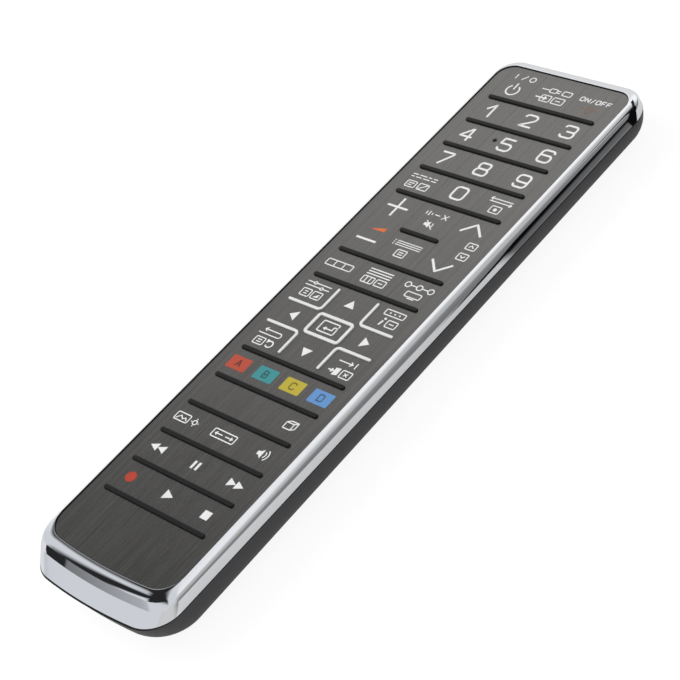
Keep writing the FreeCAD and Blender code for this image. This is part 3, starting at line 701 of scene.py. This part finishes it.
# Digits: broad squarish strokes in the middle of their keys. The 5 has a small raised
# dot beside it, which a finger finds in the dark.
digit_line = 0.68
six = [(2.05, 1.35), (2.05, 2.4, 1.0), (-2.05, 2.4, 1.2), (-2.05, -2.4, 1.2),
       (2.05, -2.4, 1.2), (2.05, 0.35, 1.0), (-1.7, 0.35)]
digit_strokes = {
    "1": [[(-1.7, 0.35), (0.6, 2.6, 0.1), (0.6, -2.75)]],
    "2": [[(-2.05, 1.3), (-2.05, 2.4, 1.0), (2.05, 2.4, 1.1), (2.05, 0.6, 0.8),
           (-2.05, -2.4, 0.1), (2.1, -2.4)]],
    "3": [[(-2.05, 1.5), (-2.05, 2.4, 0.85), (2.05, 2.4, 1.0), (2.05, 0.0, 0.6), (-0.8, 0.0)],
          [(-0.8, 0.0), (2.15, 0.0, 0.8), (2.15, -2.4, 1.1), (-2.05, -2.4, 0.95),
           (-2.05, -1.4)]],
    "4": [[(2.1, -0.95), (-2.15, -0.95, 0.1), (0.7, 2.4)], [(0.95, 2.65), (0.95, -2.65)]],
    "5": [[(2.0, 2.4), (-1.75, 2.4, 0.1), (-2.05, 0.35, 0.1), (2.05, 0.35, 1.1),
           (2.05, -2.4, 1.2), (-2.05, -2.4, 1.0), (-2.05, -1.3)]],
    "6": [six],
    "7": [[(-2.1, 2.4), (2.1, 2.4, 0.1), (2.1, 1.9, 0.1), (-0.9, -2.6)]],
    "9": [[(-point[0], -point[1], *point[2:]) for point in six]],
}
digit_boxes = {
    "8": [(-2.1, -2.4, 2.1, 0.1, 1.0), (-1.85, 0.1, 1.85, 2.4, 0.9)],
    "0": [(-2.1, -2.4, 2.1, 2.4, 1.2)],
}
digit_places = dict(zip("123456789", ((x, y) for y in (76.4, 65.5, 54.6)
                                      for x in (-14.2, 0.0, 14.25))))
digit_places["0"] = (0.0, 44.0)
for digit, place in digit_places.items():
    ink = Ink("key_" + digit)
    ink.at(*place)
    for points in digit_strokes.get(digit, []):
        ink.line(digit_line, points)
    for corners in digit_boxes.get(digit, []):
        ink.box(digit_line, *corners)
    ink.put(white_ink, "digit_" + digit)

dot = bmesh.new()
bmesh.ops.create_uvsphere(dot, u_segments=24, v_segments=12, radius=0.7,
                          matrix=Matrix.Translation((-4.6, 66.1, 0.0))
                          @ Matrix.Diagonal((1.0, 1.0, 0.4, 1.0)))
for face in dot.faces:
    face.smooth = True
bmesh.ops.transform(dot, matrix=ink_place, verts=dot.verts[:])
touch_dot = add_object("touch_dot", dot)
touch_dot.data.materials.append(rubber.material)
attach(touch_dot, "key_5_body")

# Letters that are drawn: those of ON/OFF on the key that lights the others, and A to D on
# the colour keys. Each is a few plain strokes in a box one unit wide and one high.
letters = {
    "O": [([(-0.5, -0.5, 0.3), (0.5, -0.5, 0.3), (0.5, 0.5, 0.3), (-0.5, 0.5, 0.3)], True)],
    "N": [([(-0.5, -0.5), (-0.5, 0.5, 0.03), (0.5, -0.5, 0.03), (0.5, 0.5)], False)],
    "F": [([(-0.5, -0.5), (-0.5, 0.5, 0.03), (0.5, 0.5)], False),
          ([(-0.4, 0.0), (0.3, 0.0)], False)],
    "/": [([(-0.35, -0.6), (0.35, 0.6)], False)],
    "A": [([(-0.5, -0.5), (0.0, 0.5, 0.03), (0.5, -0.5)], False),
          ([(-0.3, -0.15), (0.3, -0.15)], False)],
    "B": [([(-0.45, -0.5, 0.03), (0.45, -0.5, 0.2), (0.45, 0.02, 0.2), (-0.45, 0.02, 0.03)], True),
          ([(-0.45, 0.0, 0.03), (0.35, 0.0, 0.2), (0.35, 0.5, 0.2), (-0.45, 0.5, 0.03)], True)],
    "C": [([(0.45, -0.25), (0.45, -0.5, 0.2), (-0.5, -0.5, 0.3), (-0.5, 0.5, 0.3),
            (0.45, 0.5, 0.2), (0.45, 0.25)], False)],
    "D": [([(-0.5, -0.5, 0.03), (0.5, -0.5, 0.35), (0.5, 0.5, 0.35), (-0.5, 0.5, 0.03)], True)],
}


def write(ink, word, width, x, y, letter_width, letter_height, pitch):
    """Letters in a row from x, on the middle height y."""
    for letter in word:
        ink.at(x, y)
        for points, closed in letters[letter]:
            sized = [(point[0] * letter_width, point[1] * letter_height,
                      *(rounding * letter_width for rounding in point[2:])) for point in points]
            ink.line(width, sized, closed)
        x += pitch


# Top row: standby sign on the power key, a cable and its sockets on the source key, and
# ON/OFF over a small amber lamp on the key that lights the others.
faint = 0.3
thin = 0.34
medium = 0.5
bold = 0.7
ink = Ink("key_power")
ink.at(-13.7, 86.3)
ink.arc(medium, 0.0, 0.0, 2.1, 125.0, 415.0)
ink.line(medium, [(0.0, 0.3), (0.0, 3.1)])
ink.at(-13.4, 92.0)
ink.line(thin, [(-3.0, -0.95), (-3.0, 0.95)])
ink.line(thin, [(-0.7, -1.0), (0.7, 1.0)])
ink.arc(thin, 3.0, 0.0, 0.95, 0.0, 360.0)
ink.put(white_ink, "sign_power")

ink = Ink("key_source")
ink.at(0.0, 89.9)
ink.line(thin, [(-5.4, 0.0), (-2.4, 0.0)])
ink.box(thin, -2.4, -0.8, 0.0, 0.8)
ink.line(thin, [(0.2, 0.4), (1.3, 0.4)])
ink.line(thin, [(0.2, -0.4), (1.3, -0.4)])
ink.box(thin, 2.2, -0.9, 5.2, 0.9)
ink.at(0.0, 86.35)
ink.box(thin, -3.3, -1.3, 0.0, 1.3)
ink.arrow(medium, -5.2, 0.0, -1.4, 0.0, 1.1)
ink.box(thin, 0.9, -1.25, 4.8, 1.25)
ink.line(thin, [(2.0, 0.0), (3.7, 0.0)])
ink.put(white_ink, "sign_source")

ink = Ink("key_light")
write(ink, "ON/OFF", thin, 9.3, 89.8, 1.25, 1.6, 1.85)
ink.put(white_ink, "sign_light")
ink = Ink("key_light")
ink.at(14.0, 86.1)
ink.arc(faint, 0.0, 0.3, 1.0, -50.0, 230.0)
ink.line(faint, [(-0.5, -0.9), (0.5, -0.9)])
ink.line(faint, [(-0.4, -1.4), (0.4, -1.4)])
ink.line(faint, [(-2.8, 0.3), (-1.8, 0.3)])
ink.line(faint, [(1.8, 0.3), (2.8, 0.3)])
ink.put(amber_ink, "sign_lamp")

# Keys beside the 0: two pages of text, and two arrows that swap places.
ink = Ink("key_teletext")
ink.at(-14.2, 45.6)
for x0, x1 in ((-4.6, -2.6), (-2.0, 0.6), (1.2, 2.4), (3.0, 4.6)):
    ink.line(thin, [(x0, 0.5), (x1, 0.5)])
for x0, x1 in ((-4.6, -3.4), (-2.8, -0.8), (-0.2, 2.2), (2.8, 4.6)):
    ink.line(thin, [(x0, -0.5), (x1, -0.5)])
ink.at(-14.2, 42.15)
for x in (-2.35, 2.15):
    ink.box(thin, x - 1.7, -1.2, x + 1.7, 1.2)
ink.line(thin, [(-3.4, 0.4), (-1.3, 0.4)])
ink.line(thin, [(-3.4, -0.4), (-1.9, -0.4)])
ink.line(thin, [(0.9, -1.0), (3.4, 1.0)])
ink.put(white_ink, "sign_teletext")

ink = Ink("key_previous")
ink.at(14.0, 45.6)
ink.arrow(thin, 3.8, 0.5, -3.8, 0.5, 0.9)
ink.arrow(thin, -3.8, -0.6, 3.8, -0.6, 0.9)
ink.at(14.2, 42.2)
ink.box(thin, -1.7, -1.3, 1.7, 1.3)
ink.disc(0.0, 0.0, 0.6)
ink.put(white_ink, "sign_previous")

# Volume and channel rockers: plus and minus with an orange wedge between them, and two
# chevrons with small pages beside them.
ink = Ink("volume_rocker")
ink.at(-13.8, 32.9)
ink.line(bold, [(-3.7, 0.0), (3.7, 0.0)])
ink.line(bold, [(0.0, -3.7), (0.0, 3.7)])
ink.at(-13.85, 18.9)
ink.line(bold, [(-3.6, 0.0), (3.6, 0.0)])
ink.put(white_ink, "sign_volume")
ink = Ink("volume_rocker")
ink.at(-13.15, 23.8)
ink.fill([(-2.55, -0.8), (2.55, -0.8), (2.55, 0.8)])
ink.put(orange_ink, "sign_loudness")

ink = Ink("channel_rocker")
ink.at(13.55, 0.0)
ink.line(bold, [(-3.65, 31.8), (0.0, 35.5, 0.1), (3.65, 31.8)])
ink.line(bold, [(-3.65, 20.0), (0.0, 16.3, 0.1), (3.65, 20.0)])
ink.at(17.4, 27.8)
ink.box(thin, -1.6, -1.2, 1.6, 1.2)
ink.line(thin, [(-0.8, -0.4), (0.0, 0.4), (0.8, -0.4)])
ink.at(17.4, 23.65)
ink.box(thin, -1.6, -1.2, 1.6, 1.2)
ink.line(thin, [(-0.8, 0.4), (0.0, -0.4), (0.8, 0.4)])
ink.put(white_ink, "sign_channel")

# Between the rockers: a crossed-out speaker, and a list.
ink = Ink("key_mute")
ink.at(-0.1, 34.35)
for x, y in ((-3.9, 0.6), (-2.9, 0.9), (-1.9, 0.4)):
    ink.line(thin, [(x, -y), (x, y)])
ink.line(thin, [(1.9, -0.9), (3.7, 0.9)])
ink.line(thin, [(1.9, 0.9), (3.7, -0.9)])
ink.line(thin, [(-0.9, 0.0), (0.9, 0.0)])
ink.at(-0.1, 30.4)
ink.fill([(-1.8, -0.5), (-1.0, -0.5), (0.1, -1.2), (0.1, 1.2), (-1.0, 0.5), (-1.8, 0.5)])
ink.arc(thin, 0.1, 0.0, 1.1, -45.0, 45.0)
ink.line(thin, [(-1.7, 1.4), (1.8, -1.4)])
ink.put(white_ink, "sign_mute")

ink = Ink("key_channel_list")
ink.at(-0.25, 21.4)
for y in (0.75, 0.0, -0.75):
    ink.disc(-5.0, y, 0.22)
    ink.line(0.28, [(-4.2, y), (4.8, y)])
ink.at(-0.3, 18.0)
ink.box(thin, -1.7, -1.3, 1.7, 1.3)
ink.line(thin, [(-0.9, 0.4), (0.9, 0.4)])
ink.line(thin, [(-0.9, -0.4), (0.9, -0.4)])
ink.put(white_ink, "sign_channel_list")

# Row under the rockers: a strip of pictures, a menu with its pages, and three points on
# a line that stand for a network over a small screen.
ink = Ink("key_content")
ink.at(-14.2, 7.75)
ink.box(thin, -4.7, -1.1, 4.7, 1.1)
for x in (-1.6, 1.6):
    ink.line(thin, [(x, -0.9), (x, 0.9)])
ink.put(white_ink, "sign_content")

ink = Ink("key_menu")
ink.at(-0.3, 9.5)
for y in (0.95, 0.0, -0.95):
    ink.line(0.38, [(-4.2, y), (4.2, y)])
ink.at(-2.4, 6.4)
ink.box(thin, -2.0, -1.15, 2.0, 1.15)
ink.line(thin, [(-0.7, -0.95), (-0.7, 0.95)])
ink.line(thin, [(0.7, -0.95), (0.7, 0.95)])
ink.at(2.15, 6.4)
ink.box(thin, -1.7, -1.15, 1.7, 1.15)
ink.line(thin, [(-0.8, 0.0), (0.8, 0.0)])
ink.put(white_ink, "sign_menu")

ink = Ink("key_internet")
ink.at(13.9, 9.5)
for x in (-4.0, 0.0, 4.0):
    ink.arc(thin, x, 0.0, 0.9, 0.0, 360.0)
ink.line(thin, [(-3.0, 0.0), (-1.0, 0.0)])
ink.line(thin, [(1.0, 0.0), (3.0, 0.0)])
ink.at(14.0, 6.3)
ink.box(thin, -2.6, -0.7, 2.6, 1.1)
ink.line(thin, [(-1.2, -1.2), (1.2, -1.2)])
ink.put(white_ink, "sign_internet")

# Arrow keys: solid arrow heads round the ring, and a bent arrow in a box on the middle
# key that confirms a choice.
for way, x, y, points in (
        ("up", -0.3, -2.95, [(-1.75, -1.35), (1.75, -1.35), (0.0, 1.35)]),
        ("down", -0.3, -22.3, [(-1.75, 1.4), (0.0, -1.4), (1.75, 1.4)]),
        ("left", -13.5, -12.7, [(1.3, -1.75), (1.3, 1.75), (-1.3, 0.0)]),
        ("right", 13.35, -12.7, [(-1.3, -1.75), (1.3, 0.0), (-1.3, 1.75)])):
    ink = Ink("key_" + way)
    ink.at(x, y)
    ink.fill(points)
    ink.put(white_ink, "sign_" + way)

ink = Ink("key_enter")
ink.at(-0.4, -12.45)
ink.line(0.4, [(2.9, 0.3), (2.9, -1.9, 0.4), (-2.9, -1.9, 0.4), (-2.9, 1.9, 0.4),
               (2.9, 1.9, 0.3), (2.9, 1.0)])
ink.line(0.4, [(2.9, 0.65, 0.1), (1.7, 0.65, 0.1), (1.7, -0.5, 0.1), (-1.0, -0.5)])
ink.fill([(-1.6, -0.5), (-0.5, -1.2), (-0.5, 0.2)])
ink.put(white_ink, "sign_enter")

# Corner keys round the arrows: two sliders, an i, a returning arrow and a way out.
ink = Ink("key_tools")
ink.at(-14.2, -1.1)
for y, x in ((0.65, -1.6), (-0.65, 1.6)):
    ink.line(thin, [(-4.4, y), (x - 0.55, y)])
    ink.arc(thin, x, y, 0.45, 0.0, 360.0)
    ink.line(thin, [(x + 0.55, y), (4.4, y)])
ink.at(-14.2, -4.4)
ink.box(thin, -3.6, -1.3, -0.4, 1.3)
ink.line(thin, [(-2.6, 0.4), (-1.4, 0.4)])
ink.line(thin, [(-2.6, -0.4), (-1.4, -0.4)])
ink.box(thin, 0.4, -1.3, 3.6, 1.3)
ink.fill([(1.2, -0.7), (2.8, -0.7), (2.8, 0.7)])
ink.put(white_ink, "sign_tools")

ink = Ink("key_info")
ink.at(14.1, -1.1)
ink.box(thin, -3.4, -0.95, 3.4, 0.95)
for x in (-1.6, 0.0, 1.6):
    ink.disc(x, 0.0, 0.28)
ink.at(12.2, -4.6)
ink.line(0.55, [(-0.25, -1.3), (0.2, 0.5)])
ink.disc(0.4, 1.25, 0.4)
ink.at(15.6, -4.6)
ink.box(thin, -1.7, -1.2, 1.7, 1.2)
ink.line(thin, [(-0.8, 0.0), (0.8, 0.0)])
ink.put(white_ink, "sign_info")

ink = Ink("key_return")
ink.at(-14.5, -20.65)
ink.line(thin, [(-4.0, -0.8), (3.6, -0.8, 0.7), (3.6, 0.8, 0.7), (-2.6, 0.8)])
ink.line(thin, [(-1.9, 0.15), (-2.7, 0.8), (-1.9, 1.45)])
ink.at(-16.0, -24.1)
ink.box(thin, -1.7, -1.25, 1.7, 1.25)
ink.line(thin, [(-0.8, 0.4), (0.8, 0.4)])
ink.line(thin, [(-0.8, -0.4), (0.8, -0.4)])
ink.at(-12.1, -24.1)
ink.arc(0.42, 0.0, 0.0, 1.1, -150.0, 120.0)
ink.fill([(-1.6, 1.5), (-1.3, 0.1), (-0.1, 1.1)])
ink.put(white_ink, "sign_return")

ink = Ink("key_exit")
ink.at(13.95, -20.35)
ink.arrow(thin, -3.2, 0.0, 1.6, 0.0, 1.1)
ink.line(thin, [(2.8, -1.0), (2.8, 1.0)])
ink.at(12.3, -24.0)
ink.fill([(-0.4, -1.4), (1.3, -1.0), (1.3, 1.4), (-0.4, 1.2)])
ink.arrow(0.42, -2.4, 0.0, -0.7, 0.0, 0.9)
ink.at(16.1, -24.0)
ink.box(thin, -1.7, -1.25, 1.7, 1.25)
ink.line(thin, [(-0.6, -0.5), (0.6, 0.5)])
ink.line(thin, [(-0.6, 0.5), (0.6, -0.5)])
ink.put(white_ink, "sign_exit")

# Colour keys: a patch of bright lacquer on each, with a letter in a deeper tone. The letter
# starts some levels up, so that it lies over its patch.
colour_row = -33.05
letter_level = 8
for colour, letter, x, low, high in (
        ("red", "A", -15.3, (0.42, 0.055, 0.025), (0.50, 0.07, 0.03)),
        ("green", "B", -5.1, (0.03, 0.24, 0.26), (0.04, 0.30, 0.31)),
        ("yellow", "C", 5.1, (0.46, 0.37, 0.025), (0.54, 0.44, 0.035)),
        ("blue", "D", 15.3, (0.10, 0.26, 0.55), (0.13, 0.31, 0.62))):
    patch_ink = lacquer(colour + "_ink", low, high)
    ink = Ink("key_" + colour)
    ink.at(x, colour_row)
    ink.fill([(-3.5, -2.28), (3.5, -2.28), (3.5, 2.28), (-3.5, 2.28)], 0.3)
    ink.put(patch_ink, "patch_" + colour)
    deep_ink = lacquer("deep_" + colour + "_ink", tuple(0.3 * part for part in low),
                       tuple(0.3 * part for part in high))
    ink = Ink("key_" + colour)
    ink.level = letter_level
    write(ink, letter, 0.4, x, colour_row, 1.7, 2.2, 0.0)
    ink.put(deep_ink, "letter_" + letter)

# Lower keys: a cube for pictures in depth, a framed picture beside a sun, a picture that
# grows, and a speaker with its waves.
ink = Ink("key_3d")
ink.at(14.3, -43.85)
ink.box(thin, -1.9, -1.3, 0.7, 0.7, 0.1)
ink.line(thin, [(-1.9, 0.7), (-0.8, 1.4, 0.05), (1.8, 1.4, 0.05), (1.8, -0.6, 0.05),
                (0.7, -1.3)])
ink.line(thin, [(0.7, 0.7), (1.8, 1.4)])
ink.put(white_ink, "sign_3d")

ink = Ink("key_picture_mode")
ink.at(-14.4, -54.5)
ink.box(thin, -4.3, -1.3, 0.6, 1.3)
ink.line(thin, [(-3.8, -0.9), (-2.5, 0.4), (-1.5, -0.5), (-0.7, 0.1), (0.1, -0.8)])
ink.arc(thin, 2.9, 0.0, 0.7, 0.0, 360.0)
for turn in range(4):
    out = (math.cos(turn * math.pi / 2.0), math.sin(turn * math.pi / 2.0))
    ink.line(thin, [(2.9 + 1.05 * out[0], 1.05 * out[1]), (2.9 + 1.4 * out[0], 1.4 * out[1])])
ink.put(white_ink, "sign_picture_mode")

ink = Ink("key_picture_size")
ink.at(-0.4, -54.5)
ink.box(thin, -4.1, -1.3, 4.1, 1.3)
ink.arrow(thin, -0.5, 0.0, -3.1, 0.0, 0.8)
ink.arrow(thin, 0.5, 0.0, 3.1, 0.0, 0.8)
ink.put(white_ink, "sign_picture_size")

ink = Ink("key_sound")
ink.at(14.0, -54.5)
ink.fill([(-1.9, -0.6), (-1.1, -0.6), (-0.1, -1.5), (-0.1, 1.5), (-1.1, 0.6), (-1.9, 0.6)])
ink.arc(thin, -0.2, 0.0, 1.2, -50.0, 50.0)
ink.arc(thin, -0.2, 0.0, 2.1, -50.0, 50.0)
ink.put(white_ink, "sign_sound")

# Transport keys: the plain solid signs, the recording dot in red.
ink = Ink("key_rewind")
ink.at(-14.95, -65.37)
for x in (-2.7, 0.0):
    ink.fill([(x, 0.0), (x + 2.7, -1.3), (x + 2.7, 1.3)])
ink.put(white_ink, "sign_rewind")
ink = Ink("key_pause")
ink.at(-0.35, -65.37)
for x in (-0.8, 0.8):
    ink.line(0.8, [(x, -1.3), (x, 1.3)])
ink.put(white_ink, "sign_pause")
ink = Ink("key_forward")
ink.at(14.55, -65.37)
for x in (-2.7, 0.0):
    ink.fill([(x, -1.3), (x + 2.7, 0.0), (x, 1.3)])
ink.put(white_ink, "sign_forward")
ink = Ink("key_record")
ink.disc(-14.45, -76.18, 1.7)
ink.put(lacquer("record_ink", (0.42, 0.035, 0.012), (0.50, 0.045, 0.016)), "sign_record")
ink = Ink("key_play")
ink.at(0.1, -76.15)
ink.fill([(-1.5, -1.55), (1.65, 0.0), (-1.5, 1.55)])
ink.put(white_ink, "sign_play")
ink = Ink("key_stop")
ink.at(14.3, -76.3)
ink.fill([(-1.3, -1.3), (1.3, -1.3), (1.3, 1.3), (-1.3, 1.3)])
ink.put(white_ink, "sign_stop")
